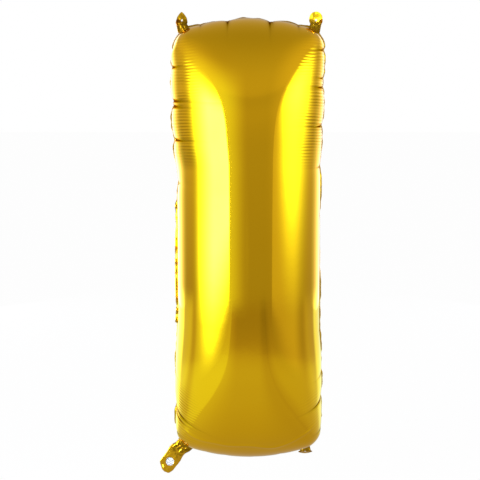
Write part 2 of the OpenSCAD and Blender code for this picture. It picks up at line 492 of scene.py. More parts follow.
def film_piece(
    name: str, points: np.ndarray, flat: tuple[np.ndarray, np.ndarray], kept: np.ndarray, turned: bool = False
) -> bpy.types.Object:
    """A single layer of film from a grid of points.

    Args:
        name: its name.
        points: where the film lies, shape (rows, columns, 3).
        flat: the UV map, as each point's two places on the flat film in metres.
        kept: which points faces may use.
        turned: whether its faces run the other way round.

    Returns:
        The object.
    """
    index = np.arange(kept.size).reshape(kept.shape)
    corners = [index[:-1, :-1], index[:-1, 1:], index[1:, 1:], index[1:, :-1]]
    if turned:
        corners = [corners[place] for place in (0, 3, 2, 1)]
    quads = np.stack([corner.ravel() for corner in corners], axis=-1)
    quads = quads[kept.ravel()[quads].all(axis=1)]
    mesh = bpy.data.meshes.new(name)
    mesh.from_pydata(points.reshape(-1, 3).tolist(), [], quads.tolist())
    layer = mesh.uv_layers.new(name="film")
    loops = np.zeros(len(mesh.loops), dtype=np.int32)
    mesh.loops.foreach_get("vertex_index", loops)
    uv = np.stack([part.ravel()[loops] for part in flat], axis=-1)
    layer.data.foreach_set("uv", uv.ravel())
    piece = add_object(name, mesh)
    shade_smooth(piece)
    return piece


def set_painted_shade(piece: bpy.types.Object, shade: np.ndarray) -> None:
    """Writes the painted shade of each point of the film, from 0 to 1, as the crease attribute that the finish
    reads.
    """
    attribute = piece.data.attributes.new("crease", "FLOAT", "POINT")
    attribute.data.foreach_set("value", shade.astype(np.float32).ravel())


def grid_piece(name: str, grid: FilmGrid, turned: bool) -> bpy.types.Object:
    """A mesh object from a sheet's grid, with its painted shade as an attribute."""
    everywhere = np.ones(grid.points.shape[:2], dtype=bool)
    piece = film_piece(name, grid.points, (grid.across, grid.along), everywhere, turned)
    set_painted_shade(piece, grid.shade)
    piece.data.validate()
    return piece


def dress(piece: bpy.types.Object, *finishes: bpy.types.Material) -> None:
    """Gives the piece these materials and no others."""
    piece.data.materials.clear()
    for finish in finishes:
        piece.data.materials.append(finish)


def shade_smooth(piece: bpy.types.Object) -> None:
    """Shades every face of the piece smooth."""
    piece.data.polygons.foreach_set("use_smooth", [True] * len(piece.data.polygons))


def thicken(piece: bpy.types.Object, thickness: float, offset: float, inner: int = 0) -> None:
    """Turns a sheet into a thin solid.

    Args:
        piece: the sheet.
        thickness: in metres.
        offset: -1 to grow inwards, 0 to both sides, 1 outwards.
        inner: how many material slots further on the inner face's finish is.
    """
    solid = piece.modifiers.new("film", "SOLIDIFY")
    solid.thickness = thickness
    solid.offset = offset
    solid.use_even_offset = False
    solid.material_offset = inner
    solid.use_rim = True
    settle(piece)


def settle(piece: bpy.types.Object) -> None:
    """Applies the piece's modifiers to its mesh."""
    graph = bpy.context.evaluated_depsgraph_get()
    done = bpy.data.meshes.new_from_object(piece.evaluated_get(graph))
    piece.modifiers.clear()
    piece.data = done


def run_nodes(piece: bpy.types.Object, tree: bpy.types.NodeTree, inputs: dict) -> None:
    """Runs a geometry node tree on the piece and keeps its result as a plain mesh."""
    step = piece.modifiers.new("nodes", "NODES")
    step.node_group = tree
    for item in tree.interface.items_tree:
        if item.item_type == "SOCKET" and item.in_out == "INPUT" and item.name in inputs:
            step[item.identifier] = inputs[item.name]
    settle(piece)


class NodeMaker:
    """Short ways to add nodes to a node tree."""

    def __init__(self, tree: bpy.types.NodeTree) -> None:
        """Takes the tree that the nodes go in."""
        self.nodes, self.link = tree.nodes, tree.links.new

    def fill(self, node: bpy.types.Node, inputs: dict) -> None:
        """Links a node's inputs, by name or number, from sockets, or sets them to values."""
        for key, given in inputs.items():
            if isinstance(given, bpy.types.NodeSocket):
                self.link(given, node.inputs[key])
            else:
                node.inputs[key].default_value = given

    def add(self, kind: str, inputs: dict | None = None, **settings) -> bpy.types.Node:
        """A new node with these settings and inputs."""
        node = self.nodes.new(kind)
        for name, setting in settings.items():
            setattr(node, name, setting)
        self.fill(node, inputs or {})
        return node

    def value(self, operation: str, *parts) -> bpy.types.NodeSocket:
        """A math node's output, from sockets or numbers."""
        return self.add("ShaderNodeMath", dict(enumerate(parts)), operation=operation).outputs[0]

    def past(self, part, other, slope: float, start: float) -> bpy.types.NodeSocket:
        """How far a part is past the sloping line start + slope * other."""
        return self.value("SUBTRACT", part, self.value("MULTIPLY_ADD", other, slope, start))

    def step(self, part: bpy.types.NodeSocket, first: float, last: float, top: float = 1.0) -> bpy.types.NodeSocket:
        """0 before first, top after last and smooth between them."""
        inputs = {"Value": part, "From Min": first, "From Max": last, "To Max": top}
        return self.add("ShaderNodeMapRange", inputs, interpolation_type="SMOOTHSTEP").outputs[0]

    def mix(self, share, first, second) -> bpy.types.NodeSocket:
        """A mix of two colours, each a socket or three numbers."""
        ends = [end if isinstance(end, bpy.types.NodeSocket) else (*end, 1) for end in (first, second)]
        inputs = {"Factor": share, "A": ends[0], "B": ends[1]}
        return self.add("ShaderNodeMix", inputs, data_type="RGBA").outputs["Result"]

    def greened(self, level) -> bpy.types.NodeSocket:
        """White with its green part at this level."""
        inputs = {"Red": 1.0, "Green": level, "Blue": 1.0}
        return self.add("ShaderNodeCombineColor", inputs).outputs[0]

    def glow_colour(self, level: bpy.types.NodeSocket) -> bpy.types.NodeSocket:
        """The colour of a surface that glows at this level: warm where dim and greener where bright."""
        green = self.value("MULTIPLY_ADD", level, 0.85, 0.58)
        return self.greened(self.value("MINIMUM", self.value("MAXIMUM", green, 0.9), 1.3))

    def curve(self, part: bpy.types.NodeSocket, levels: tuple[tuple[float, float], ...]) -> bpy.types.NodeSocket:
        """A smooth curve through (place, level) points."""
        low, high = levels[0][0], levels[-1][0]
        share = self.value("DIVIDE", self.value("SUBTRACT", part, low), high - low)
        node = self.add("ShaderNodeFloatCurve", {"Value": share})
        line = node.mapping.curves[0]
        for place, level in levels[1:-1]:
            line.points.new((place - low) / (high - low), level)
        line.points[0].location = (0.0, levels[0][1])
        line.points[len(line.points) - 1].location = (1.0, levels[-1][1])
        node.mapping.update()
        return node.outputs[0]


def edge_tree() -> bpy.types.NodeTree:
    """Geometry nodes that grow a crimped band outwards from a closed line of edges."""
    tree = bpy.data.node_groups.new("Fused edge", "GeometryNodeTree")
    for name, way, kind in (
        ("Geometry", "INPUT", "Geometry"),
        ("Width", "INPUT", "Float"),
        ("Crimp", "INPUT", "Float"),
        ("Finish", "INPUT", "Material"),
        ("Geometry", "OUTPUT", "Geometry"),
    ):
        tree.interface.new_socket(name, in_out=way, socket_type=f"NodeSocket{kind}")
    maker = NodeMaker(tree)
    given = maker.add("NodeGroupInput").outputs
    outward = maker.add("GeometryNodeInputNamedAttribute", {"Name": "outward"}, data_type="FLOAT_VECTOR")
    offset = {0: outward.outputs["Attribute"], "Scale": given["Width"]}
    reach = maker.add("ShaderNodeVectorMath", offset, operation="SCALE").outputs["Vector"]
    grow = maker.add("GeometryNodeExtrudeMesh", {"Mesh": given["Geometry"], "Offset": reach}, mode="EDGES")
    finer = maker.add("GeometryNodeSubdivideMesh", {"Mesh": grow.outputs["Mesh"], "Level": 2})
    noise = maker.add("ShaderNodeTexNoise", {"Scale": 170, "Detail": 2}, noise_dimensions="3D")
    crimp = maker.value("MULTIPLY", maker.value("SUBTRACT", noise.outputs["Fac"], 0.5), given["Crimp"])
    normal = maker.add("GeometryNodeInputNormal").outputs[0]
    shift = maker.add("ShaderNodeVectorMath", {0: normal, "Scale": crimp}, operation="SCALE").outputs["Vector"]
    place = maker.add("GeometryNodeSetPosition", {"Geometry": finer.outputs["Mesh"], "Offset": shift})
    real = maker.add("GeometryNodeRealizeInstances", {"Geometry": place.outputs["Geometry"]})
    covered = {"Geometry": real.outputs["Geometry"], "Material": given["Finish"]}
    finish = maker.add("GeometryNodeSetMaterial", covered)
    maker.add("NodeGroupOutput", {"Geometry": finish.outputs["Geometry"]})
    return tree


def joint(name: str) -> dict:
    """The frame's joint of that name."""
    return next(j for j in frame["joints"] if j["name"] == name)


@dataclass(frozen=True)
class StripForm:
    """A flat film strip that grows from a seam.

    root is a point of its fold, across and ahead are its own axes, low and high are where
    it starts and ends ahead of its root, and spacing is its mesh spacing.
    """

    root: Vector
    across: Vector
    ahead: Vector
    low: float
    high: float
    spacing: float

    def at(self, across: np.ndarray, ahead: np.ndarray, back: np.ndarray) -> np.ndarray:
        """Points at these distances along the strip's axes and behind the seam plane."""
        return (
            np.array(self.root)
            + across[..., None] * np.array(self.across)
            + ahead[..., None] * np.array(self.ahead)
            + back[..., None] * BACKWARD
        )


def strip_piece(
    name: str, form: StripForm, half_width: Callable, place: Callable, hole: tuple[float, float] | None
) -> bpy.types.Object:
    """A strip of film with an optional round hole.

    Args:
        name: its name.
        form: its axes, its run and its mesh spacing.
        half_width: half width as a function of the distance ahead of the root.
        place: a function from (across, ahead) to a point, as arrays.
        hole: (distance ahead, radius) of the hole, if it has one.

    Returns:
        The single-layer mesh object.
    """
    count = max(8, int(round((form.high - form.low) / form.spacing)))
    ahead = np.linspace(form.low, form.high, count + 1)
    widest = float(np.max(half_width(ahead)))
    columns = max(8, int(round(2 * widest / form.spacing)))
    s, t = np.meshgrid(np.linspace(-1, 1, columns + 1), ahead)
    a = s * half_width(t)
    kept = np.ones(a.shape, dtype=bool)
    if hole is not None:
        middle, radius = hole
        off = np.hypot(a, t - middle)
        near = (off < radius + 0.45 * form.spacing) & (off > radius - 0.75 * form.spacing)
        scale = np.where(near, radius / np.maximum(off, 1e-9), 1)
        a = a * scale
        t = middle + (t - middle) * scale
        kept = np.hypot(a, t - middle) > radius - TINY
    piece = film_piece(name, place(a, t), (a, t), kept)
    drop_loose(piece)
    return piece


def shade_root(piece: bpy.types.Object, form: StripForm, reach: float, depth: float, whole: float) -> None:
    """Paints shade on a film's crinkled root, and a given shade on the rest of it, through its crease attribute.

    Args:
        piece: the film, before it is thickened.
        form: its root and its axes.
        reach: how far the painted shade of the root goes.
        depth: how dark the painted shade on the root is, from 0 to 1.
        whole: how dark the painted shade on the rest is, from 0 to 1.
    """
    grain_size = 3.2 * MM
    points = np.array([vertex.co for vertex in piece.data.vertices])
    along = (points - np.array(form.root)) @ np.array(form.ahead)
    grain = film_noise(points[:, 0], points[:, 2], (grain_size, grain_size), 91)
    # Painted shade: dark at the root, fading past reach to the shade of the whole film.
    dark = whole + (depth - whole) * smooth_step(reach, 0.25 * reach, along + grain * 0.55 * reach)
    set_painted_shade(piece, np.clip(dark, 0, 1))


def drop_loose(piece: bpy.types.Object) -> None:
    """Deletes the vertices that no face uses."""
    work = bmesh.new()
    work.from_mesh(piece.data)
    loose = [v for v in work.verts if not v.link_faces]
    bmesh.ops.delete(work, geom=loose, context="VERTS")
    work.to_mesh(piece.data)
    work.free()


class HangingTab:
    """A tab of fused film with a round head and a ribbon hole, on a pad of the fused edge."""

    head_radius = 13 * MM
    root_half_width = 10 * MM
    pad_flare = 2 * MM
    hole_drop = 2 * MM
    hole_radius = 2 * MM
    pad = 16 * MM
    pad_shear = 0.35
    spacing = 0.42 * MM
    thickness = 0.35 * MM
    # Reach of the painted shade at the root.
    dark_root = 11 * MM
    blend_reach = 2 * MM

    def __init__(
        self,
        node: str,
        fold: str,
        up: float,
        twist: float,
        rest_fold: float,
        pointed: float,
        seed: int,
        shade: tuple[float, float],
    ) -> None:
        """Takes the tab's place from its joint.

        Args:
            node: the frame's node, which is also its body.
            fold: the joint that it bends at.
            up: 1 where the tab stands up and -1 where it hangs.
            twist: how far its head is turned about its own length, in degrees.
            rest_fold: how far it rests bent back, in degrees.
            pointed: 0 for a round head and 1 for a pointed one.
            seed: which crinkles it has.
            shade: how dark the painted shade on its crinkled root and on its head is, from 0 to 1.
        """
        self.node = node
        self.twist = math.radians(twist)
        self.rest_fold = math.radians(rest_fold)
        self.pointed = pointed
        self.seed = seed
        self.shade = shade
        self.head_rise = math.sqrt(self.head_radius**2 - self.root_half_width**2)
        high = self.head_rise + self.head_radius - 0.05 * MM
        root = Vector(joint(fold)["pos_m"])
        self.form = StripForm(root, Vector((1, 0, 0)), Vector((0, 0, up)), -self.pad, high, self.spacing)

    def half_width(self, ahead: np.ndarray) -> np.ndarray:
        """Half width of the pad below the fold and of the head above it."""
        share = np.clip(np.abs(ahead - self.head_rise) / self.head_radius, 0, 1)
        arch = (1 - share**1.5) ** 0.8
        top = np.where(ahead > self.head_rise, self.pointed, 0)
        head = self.head_radius * (np.sqrt(1 - share**2) * (1 - top) + arch * top)
        foot = self.root_half_width + self.pad_flare * smooth_step(0, self.pad, -ahead)
        return np.maximum(np.where(ahead < 0, foot, head), 0.4 * MM)

    def wave(self, across: np.ndarray, ahead: np.ndarray) -> np.ndarray:
        """How far the film's crinkles lift it off its own plane."""
        broad = film_noise(across, ahead, (9 * MM, 9 * MM), self.seed) * 1.0 * MM
        fine = film_noise(across, ahead, (3.4 * MM, 14 * MM), self.seed + 1) * 0.22 * MM
        near_root = np.exp(-(((ahead + 1 * MM) / (5 * MM)) ** 2))
        wobble = 2 * film_noise(across, ahead, (4 * MM, 4 * MM), 7)
        return broad + fine + near_root * 0.6 * MM * np.sin(across / (1.15 * MM) + wobble)

    def place(self, across: np.ndarray, ahead: np.ndarray) -> np.ndarray:
        """Where a point of the flat tab lies: crinkled, twisted and bent back."""
        wave = self.wave(across, ahead)
        turn = self.twist * smooth_step(-8 * MM, 10 * MM, ahead)
        inward = -math.copysign(self.pad_shear, self.form.root.x) * np.maximum(0, -ahead)
        x = across * np.cos(turn) - wave * np.sin(turn) + inward
        y = across * np.sin(turn) + wave * np.cos(turn)
        bend = self.rest_fold * smooth_step(-2.5 * MM, 2.5 * MM, ahead)
        back = y * np.cos(bend) + np.maximum(ahead, 0) * np.sin(bend)
        return self.form.at(x, ahead * np.cos(bend), back)

    def build(self, finish: bpy.types.Material) -> bpy.types.Object:
        """Makes the tab and bends it over its fold."""
        form = self.form
        hole = (self.head_rise - self.hole_drop, self.hole_radius)
        piece = strip_piece(f"{self.node}_film", form, self.half_width, self.place, hole)
        shade_root(piece, form, self.dark_root, *self.shade)
        dress(piece, finish)
        thicken(piece, self.thickness, 0.0)
        shade_smooth(piece)
        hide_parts(self.node)
        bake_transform(piece)
        return piece


@dataclass(frozen=True)
class NeckFilm:
    """One film of the neck: its side, names and crinkles, and how far it stands from the seam plane."""

    side: Side
    name: str
    node: str
    seed: int
    gap: float


class FillingNeck:
    """The flat neck at the bottom left: two outer films with a hole in the front one, and the valve."""

    half_width_straight = 15.5 * MM
    length = 61 * MM
    tip_length = 11 * MM
    flare = 4 * MM
    hole = (40 * MM, 7.75 * MM)
    root_depth = 13 * MM
    # Reach of the painted shade on the neck's crinkled root.
    dark_root = 27 * MM
    spacing = 0.9 * MM
    thickness = 0.2 * MM
    valve_thickness = 0.08 * MM
    valve_start = 2 * MM
    valve_tip_inset = 7 * MM
    valve_side_inset = 4.5 * MM
    films = (
        NeckFilm(Side.FRONT, "neck_front_sheet", "neck_front_film", 71, 1.5 * MM),
        NeckFilm(Side.REAR, "neck_rear_sheet", "neck_rear_film", 72, 1.5 * MM),
    )
    valve_films = (
        NeckFilm(Side.FRONT, "valve_front_sheet", "valve_outer_front", 73, 0.55 * MM),
        NeckFilm(Side.REAR, "valve_rear_sheet", "valve_outer_rear", 74, 0.55 * MM),
    )

    def __init__(self) -> None:
        """Takes the neck's place and direction from its joint."""
        fold = joint("neck_fold")
        self.root = Vector(fold["pos_m"])
        self.across = Vector(fold["axis"])
        self.ahead = Vector((self.across.z, 0, -self.across.x))

    def form(self, low: float, high: float) -> StripForm:
        """A strip along the neck from low to high."""
        return StripForm(self.root, self.across, self.ahead, low, high, self.spacing)

    def half_width(self, ahead: np.ndarray) -> np.ndarray:
        """Half width along the neck, flared at the root and cut off bluntly at the tip."""
        tip = np.clip((ahead - (self.length - self.tip_length)) / self.tip_length, 0, 1)
        flare = self.flare * smooth_step(2 * MM, self.root_depth, -ahead)
        taper = np.maximum(1 - 0.6 * tip**1.2, 0)
        blunt_end = np.maximum((1 - tip**14) ** 0.5, 0.02)
        return (self.half_width_straight + flare) * taper * blunt_end

    def valve_half_width(self, ahead: np.ndarray) -> np.ndarray:
        """Half width of the valve films along the neck."""
        return np.maximum(self.half_width(ahead) - self.valve_side_inset, 0.3 * MM)

    def wave(self, across: np.ndarray, ahead: np.ndarray) -> np.ndarray:
        """The wave that all the neck's films share, none at the root itself."""
        skewed = across + 0.35 * ahead
        wave = film_noise(skewed, ahead, (9 * MM, 34 * MM), 61, 3.1) * -1.5 * MM
        wave += smooth_step(7 * MM, 15 * MM, across) * 5.0 * MM
        wave += film_noise(across, ahead, (4.5 * MM, 4.5 * MM), 65) * 1.1 * MM * smooth_step(47 * MM, 56 * MM, ahead)
        wave += film_noise(across, ahead, (18 * MM, 9 * MM), 62) * 0.9 * MM
        wave += np.abs(film_noise(skewed, ahead, (5 * MM, 16 * MM), 64)) * 0.7 * MM
        pleats = np.sin(across / (1.25 * MM) + 2.4 * film_noise(across, ahead, (7 * MM, 7 * MM), 63))
        near_root = np.exp(-(((ahead - 2 * MM) / (11 * MM)) ** 2))
        return (wave + pleats * near_root * 0.7 * MM) * smooth_step(-2 * MM, 4 * MM, ahead)

    def place(self, film: NeckFilm) -> Callable:
        """A function that lays that film in place."""

        def lay(across: np.ndarray, ahead: np.ndarray) -> np.ndarray:
            """Where a point of the flat film lies."""
            share = np.clip(np.abs(across) / np.maximum(self.half_width(ahead), TINY), 0, 1)
            bulge = film.gap * ((1 - share**2) ** 0.8 + 0.16)
            own = film_noise(across, ahead, (8 * MM, 8 * MM), film.seed) * 0.3 * MM * (1 - share**4)
            y = film.side.value * (bulge + np.abs(own)) + self.wave(across, ahead)
            bow = smooth_step(2 * MM, 14 * MM, ahead) * (2.2 + 1.8 * smooth_step(31 * MM, 18 * MM, ahead)) * MM
            sway = 3.5 * MM * smooth_step(49 * MM, 60 * MM, ahead) - bow
            forward = 2.8 * MM * smooth_step(34 * MM, 66 * MM, ahead)
            return self.form(0, 0).at(across + sway, ahead, y - forward)

        return lay

    def _finished(
        self, film: NeckFilm, piece: bpy.types.Object, finishes: tuple, thickness: float
    ) -> bpy.types.Object:
        """The film with its finishes, outer first, and its thickness, in its node's place."""
        dress(piece, *finishes)
        if film.side is Side.FRONT:
            piece.data.flip_normals()
        thicken(piece, thickness, -1.0, inner=len(finishes) - 1)
        shade_smooth(piece)
        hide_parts(film.node)
        return piece

    def build(self, gold: bpy.types.Material, silver: bpy.types.Material, clear: bpy.types.Material) -> list:
        """Makes the neck's outer films and the valve films between them."""
        pieces = []
        outer = self.form(-self.root_depth, self.length)
        for film in self.films:
            hole = self.hole if film.side is Side.FRONT else None
            piece = strip_piece(film.name, outer, self.half_width, self.place(film), hole)
            # Painted shade on the neck's crinkled root.
            shade_root(piece, outer, self.dark_root, 0.8, 0.0)
            self._finished(film, piece, (gold, silver), self.thickness)
            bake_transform(piece)
            pieces.append(piece)
        inner = self.form(self.valve_start, self.length - self.valve_tip_inset)
        for film in self.valve_films:
            piece = strip_piece(film.name, inner, self.valve_half_width, self.place(film), None)
            self._finished(film, piece, (clear,), self.valve_thickness)
            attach(piece, "neck")
            pieces.append(piece)
        for node in ("valve_inner_front", "valve_inner_rear"):
            dress(frame["nodes"][node], clear)
        return pieces


def film_relief_group() -> bpy.types.NodeTree:
    """Shader nodes for the fine relief of thin film and for the slow change of its tone."""
    group = bpy.data.node_groups.new("Film relief", "ShaderNodeTree")
    face = group.interface
    for name, value in (("Crinkle", 0.1), ("Crinkle Size", 12 * MM)):
        face.new_socket(name, in_out="INPUT", socket_type="NodeSocketFloat").default_value = value
    for name in ("Height", "Tone"):
        face.new_socket(name, in_out="OUTPUT", socket_type="NodeSocketFloat")
    maker = NodeMaker(group)
    given = maker.add("NodeGroupInput").outputs
    spot = maker.add("ShaderNodeTexCoord").outputs["Object"]
    scale = maker.value("DIVIDE", 1.0, given["Crinkle Size"])
    crinkle = maker.add("ShaderNodeTexNoise", {"Vector": spot, "Scale": scale, "Detail": 3.0})
    tone = maker.add("ShaderNodeTexNoise", {"Vector": spot, "Scale": 14.0, "Detail": 4.0})
    height = maker.value("MULTIPLY", crinkle.outputs["Fac"], given["Crinkle"])
    maker.add("NodeGroupOutput", {"Height": height, "Tone": tone.outputs["Fac"]})
    return group


class FilmMaterial:
    """A new material whose surface has the shared film relief."""

    def __init__(
        self, name: str, relief: bpy.types.NodeTree, crinkle: float, crinkle_size: float, depth: float
    ) -> None:
        """Makes the material.

        Args:
            name: its name.
            relief: the shared film relief group.
            crinkle: how strong its crinkles are.
            crinkle_size: how far apart they are.
            depth: how deep the relief is.
        """
        self.material = bpy.data.materials.new(name)
        self.material.use_nodes = True
        self.maker = NodeMaker(self.material.node_tree)
        self.shader = self.maker.nodes["Principled BSDF"]
        crinkles = {"Crinkle": crinkle, "Crinkle Size": crinkle_size}
        film = self.maker.add("ShaderNodeGroup", crinkles, node_tree=relief)
        self.tone = film.outputs["Tone"]
        height = film.outputs["Height"]
        bump = self.maker.add("ShaderNodeBump", {"Strength": 1.0, "Distance": depth, "Height": height})
        self.set({"Normal": bump.outputs["Normal"]})

    def set(self, inputs: dict) -> None:
        """Sets or links inputs of its surface shader."""
        self.maker.fill(self.shader, inputs)


@dataclass(frozen=True)
class FilmFinish:
    """A metallised film.

    deep and pale are the colours that its tone wanders between, fold is the painted shade
    colour that the crease attribute mixes it towards, fold_dullness what a crease adds to its
    roughness, and grazing and fold_grazing are its specular tints outside a crease and, as painted shade, inside
    one.
    """

    name: str
    deep: tuple[float, float, float]
    pale: tuple[float, float, float]
    roughness: float
    crinkle: float
    crinkle_size: float
    relief: float = 0.16 * MM
    # Painted shade colour for creases and crinkled roots.
    fold: tuple[float, float, float] = (0.19, 0.098, 0.004)
    fold_dullness: float = 0.30
    grazing: tuple[float, float, float] = (1.0, 0.95, 0.80)
    fold_grazing: tuple[float, float, float] = (0.50, 0.28, 0.04)

    def build(self, relief: bpy.types.NodeTree) -> bpy.types.Material:
        """Makes the material with the shared film relief group."""
        film = FilmMaterial(self.name, relief, self.crinkle, self.crinkle_size, self.relief)
        maker = film.maker
        # The crease attribute is painted shade that darkens the base colour and the specular tint.
        crease = maker.add("ShaderNodeAttribute", attribute_name="crease").outputs["Fac"]
        colour = maker.mix(film.tone, self.deep, self.pale)
        ends = {"Value": film.tone, "To Min": self.roughness * 0.7, "To Max": self.roughness * 1.3}
        gloss = maker.add("ShaderNodeMapRange", ends).outputs[0]
        film.set(
            {
                "Metallic": 1.0,
                "Base Color": maker.mix(crease, colour, self.fold),
                "Specular Tint": maker.mix(crease, self.grazing, self.fold_grazing),
                "Roughness": maker.value("MULTIPLY_ADD", crease, self.fold_dullness, gloss),
            }
        )
        return film.material


GOLD = FilmFinish("gold_film", (1.0, 0.545, 0.008), (1.0, 0.57, 0.011), 0.055, 0.3, 26 * MM)
GOLD_CRINKLED = FilmFinish("gold_film_crinkled", (0.80, 0.42, 0.010), (1.0, 0.57, 0.02), 0.15, 0.25, 8 * MM)
GOLD_FUSED = FilmFinish("gold_fused_edge", (0.36, 0.22, 0.012), (0.95, 0.53, 0.02), 0.26, 1.6, 5 * MM)
SILVER = FilmFinish("silver_inner_face", (0.80, 0.79, 0.76), (0.93, 0.92, 0.88), 0.18, 0.8, 5 * MM)


@dataclass(frozen=True)
class ClearFilm:
    """The clear plastic of the valve."""

    colour: tuple[float, float, float] = (0.90, 0.92, 0.93)
    alpha: float = 0.28
    roughness: float = 0.12
    crinkle: float = 1.0
    crinkle_size: float = 5 * MM
    relief: float = 0.2 * MM

    def build(self, relief: bpy.types.NodeTree) -> bpy.types.Material:
        """Makes the material with the shared film relief group."""
        film = FilmMaterial("clear_valve_film", relief, self.crinkle, self.crinkle_size, self.relief)
        film.set({"Base Color": (*self.colour, 1), "Roughness": self.roughness, "Alpha": self.alpha})
        return film.material


@dataclass(frozen=True)
class Softbox:
    """A rectangular light that fades towards its edges, with one rounded upper corner.

    level is its brightness as a surface, and the fades are the shares of its width and
    height over which it fades at its first and last edges, and tail is the power of those
    fades. corner is the rounding of the upper corner at its front edge, as shares of its
    width and height, edge is how soft that corner is, and front is 0 or 1 for the edge
    that stands at the front.
    """

    name: str
    centre: Vector
    target: Vector
    width: float
    height: float
    level: float
    across_fade: tuple[float, float]
    up_fade: tuple[float, float]
    tail: float = 2.0
    front: int = 0
    corner: tuple[float, float] = (0.01, 0.01)
    edge: float = 0.04
    tint: tuple[float, float, float] = (0.95, 1.0, 1.22)

    def build(self) -> None:
        """Makes the light."""
        data = bpy.data.lights.new(self.name, "AREA")
        data.shape = "RECTANGLE"
        data.size, data.size_y = self.width, self.height
        data.energy = self.level * math.pi * self.width * self.height
        data.color = self.tint
        data.use_nodes = True
        maker = NodeMaker(data.node_tree)
        place = maker.add("ShaderNodeNewGeometry").outputs["Parametric"]
        split = maker.add("ShaderNodeSeparateXYZ", {0: place}).outputs
        strength = self._strength(maker, split["X"], split["Y"])
        green = maker.value("ADD", maker.step(strength, 0.25, 0.05, 0.5), 1.0)
        maker.fill(maker.nodes["Emission"], {"Strength": strength, "Color": maker.greened(green)})
        light = add_object(self.name, data)
        light.location = self.centre
        light.rotation_euler = (self.target - self.centre).to_track_quat("-Z", "Y").to_euler()
        light.visible_camera = False

    def _strength(
        self, maker: NodeMaker, across: bpy.types.NodeSocket, up: bpy.types.NodeSocket
    ) -> bpy.types.NodeSocket:
        """How brightly each place of the light shines, from 0 to 1."""
        strength = None
        for part, (first, last) in ((across, self.across_fade), (up, self.up_fade)):
            for low, high in ((0.0, max(first, 1e-3)), (1.0, 1 - max(last, 1e-3))):
                fade = maker.value("POWER", maker.step(part, low, high), self.tail)
                strength = fade if strength is None else maker.value("MULTIPLY", strength, fade)
        from_front = maker.value("SUBTRACT", 1.0, across) if self.front else across
        from_top = maker.value("SUBTRACT", 1.0, up)
        legs = []
        for part, size in zip((from_front, from_top), self.corner):
            inside = maker.value("SUBTRACT", 1.0, maker.value("DIVIDE", part, size))
            leg = maker.value("MAXIMUM", 0.0, inside)
            legs.append(maker.value("MULTIPLY", leg, leg))
        round_off = maker.value("SQRT", maker.value("ADD", *legs))
        return maker.value("MULTIPLY", strength, maker.step(round_off, 1.0, 1 - self.edge))


